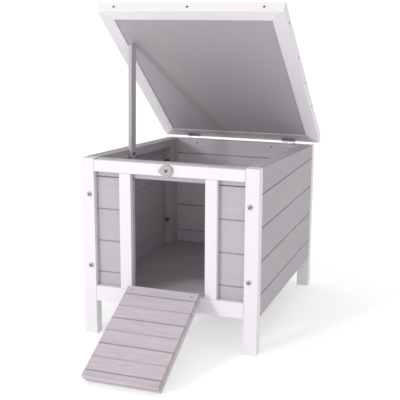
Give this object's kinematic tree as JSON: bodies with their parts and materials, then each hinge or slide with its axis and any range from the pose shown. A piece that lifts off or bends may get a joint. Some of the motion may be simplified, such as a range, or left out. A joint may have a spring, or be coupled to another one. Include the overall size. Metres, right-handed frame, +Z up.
{
  "type": "rabbit hutch",
  "caption": "Small wooden animal hutch on four legs, with a hinged lid on a prop stay, a front doorway and a hinged ramp that shuts it.",
  "frame": {"origin": "on the ground, at the middle of the whole hutch as it stands open", "axes": "+Z up, the doorway and the ramp face -Y, +X to the right of someone facing the doorway; the longest way is along Y, from the ramp's tip to the lid's rear edge"},
  "size_m": [0.425, 0.7826, 0.7256],
  "materials": {
    "white_paint": "satin white paint on wood",
    "grey_stain": "light grey matt stain on wood",
    "side_stain": "grey matt stain on wood",
    "lid_stain": "mid grey matt stain on wood",
    "ramp_stain": "warm grey matt stain on wood",
    "zinc": "zinc plated",
    "copper_screw": "copper coloured plating",
    "button_plastic": "matt grey plastic"
  },
  "bodies": {
    "body": {"front_left_post": "white_paint", "front_right_post": "white_paint", "rear_left_post": "white_paint", "rear_right_post": "white_paint", "left_stile": "white_paint", "right_stile": "white_paint", "front_top_rail": "white_paint", "front_bottom_rail": "white_paint", "rear_top_rail": "white_paint", "rear_bottom_rail": "white_paint", "header_board": "grey_stain", "front_left_boards": "grey_stain", "front_right_boards": "grey_stain", "rear_boards": "grey_stain", "left_board_1": "side_stain", "left_board_2": "side_stain", "left_board_3": "side_stain", "left_board_4": "side_stain", "left_board_5": "side_stain", "left_top_batten": "side_stain", "front_left_batten": "side_stain", "rear_left_batten": "side_stain", "front_left_lower_bolt": "zinc", "front_left_upper_bolt": "zinc", "rear_left_lower_bolt": "zinc", "rear_left_upper_bolt": "zinc", "lid_left_hinge_fixed": "zinc", "ramp_left_hinge_fixed": "zinc", "right_board_1": "side_stain", "right_board_2": "side_stain", "right_board_3": "side_stain", "right_board_4": "side_stain", "right_board_5": "side_stain", "right_top_batten": "side_stain", "front_right_batten": "side_stain", "rear_right_batten": "side_stain", "front_right_lower_bolt": "zinc", "front_right_upper_bolt": "zinc", "rear_right_lower_bolt": "zinc", "rear_right_upper_bolt": "zinc", "lid_right_hinge_fixed": "zinc", "ramp_right_hinge_fixed": "zinc", "floor_boards": "side_stain", "turn_screw": "copper_screw"},
    "lid": {"lid_front_member": "white_paint", "lid_rear_member": "grey_stain", "lid_left_member": "white_paint", "lid_right_member": "white_paint", "lid_panel": "lid_stain", "lid_left_hinge_moving": "zinc", "lid_right_hinge_moving": "zinc"},
    "stay": {"stay": "side_stain", "stay_screw": "zinc"},
    "ramp": {"ramp_deck": "ramp_stain", "ramp_cleat": "ramp_stain", "ramp_left_batten": "ramp_stain", "ramp_right_batten": "ramp_stain", "ramp_left_hinge_moving": "zinc", "ramp_right_hinge_moving": "zinc"},
    "turn_button": {"turn_button": "button_plastic"}
  },
  "joints": [
    {"name": "lid_hinge", "type": "hinge", "parent": "body", "child": "lid", "pos_m": [0, 0.37861, 0.37643], "axis": [1, 0, 0], "range_deg": [0, 36.14]},
    {"name": "stay_fold", "type": "hinge", "parent": "lid", "child": "stay", "pos_m": [-0.1654, 0.06738, 0.63168], "axis": [1, 0, 0], "range_deg": [0, 52.6]},
    {"name": "ramp_hinge", "type": "hinge", "parent": "body", "child": "ramp", "pos_m": [0, -0.15509, 0.1143], "axis": [1, 0, 0], "range_deg": [-116.6, 0]},
    {"name": "button_swivel", "type": "hinge", "parent": "body", "child": "turn_button", "pos_m": [0, -0.14819, 0.384], "axis": [0, -1, 0], "range_deg": [0, 180]}
  ],
  "couplings": [
    {"joint": "stay_fold", "follows": "lid_hinge", "ratio": 1.455}
  ]
}
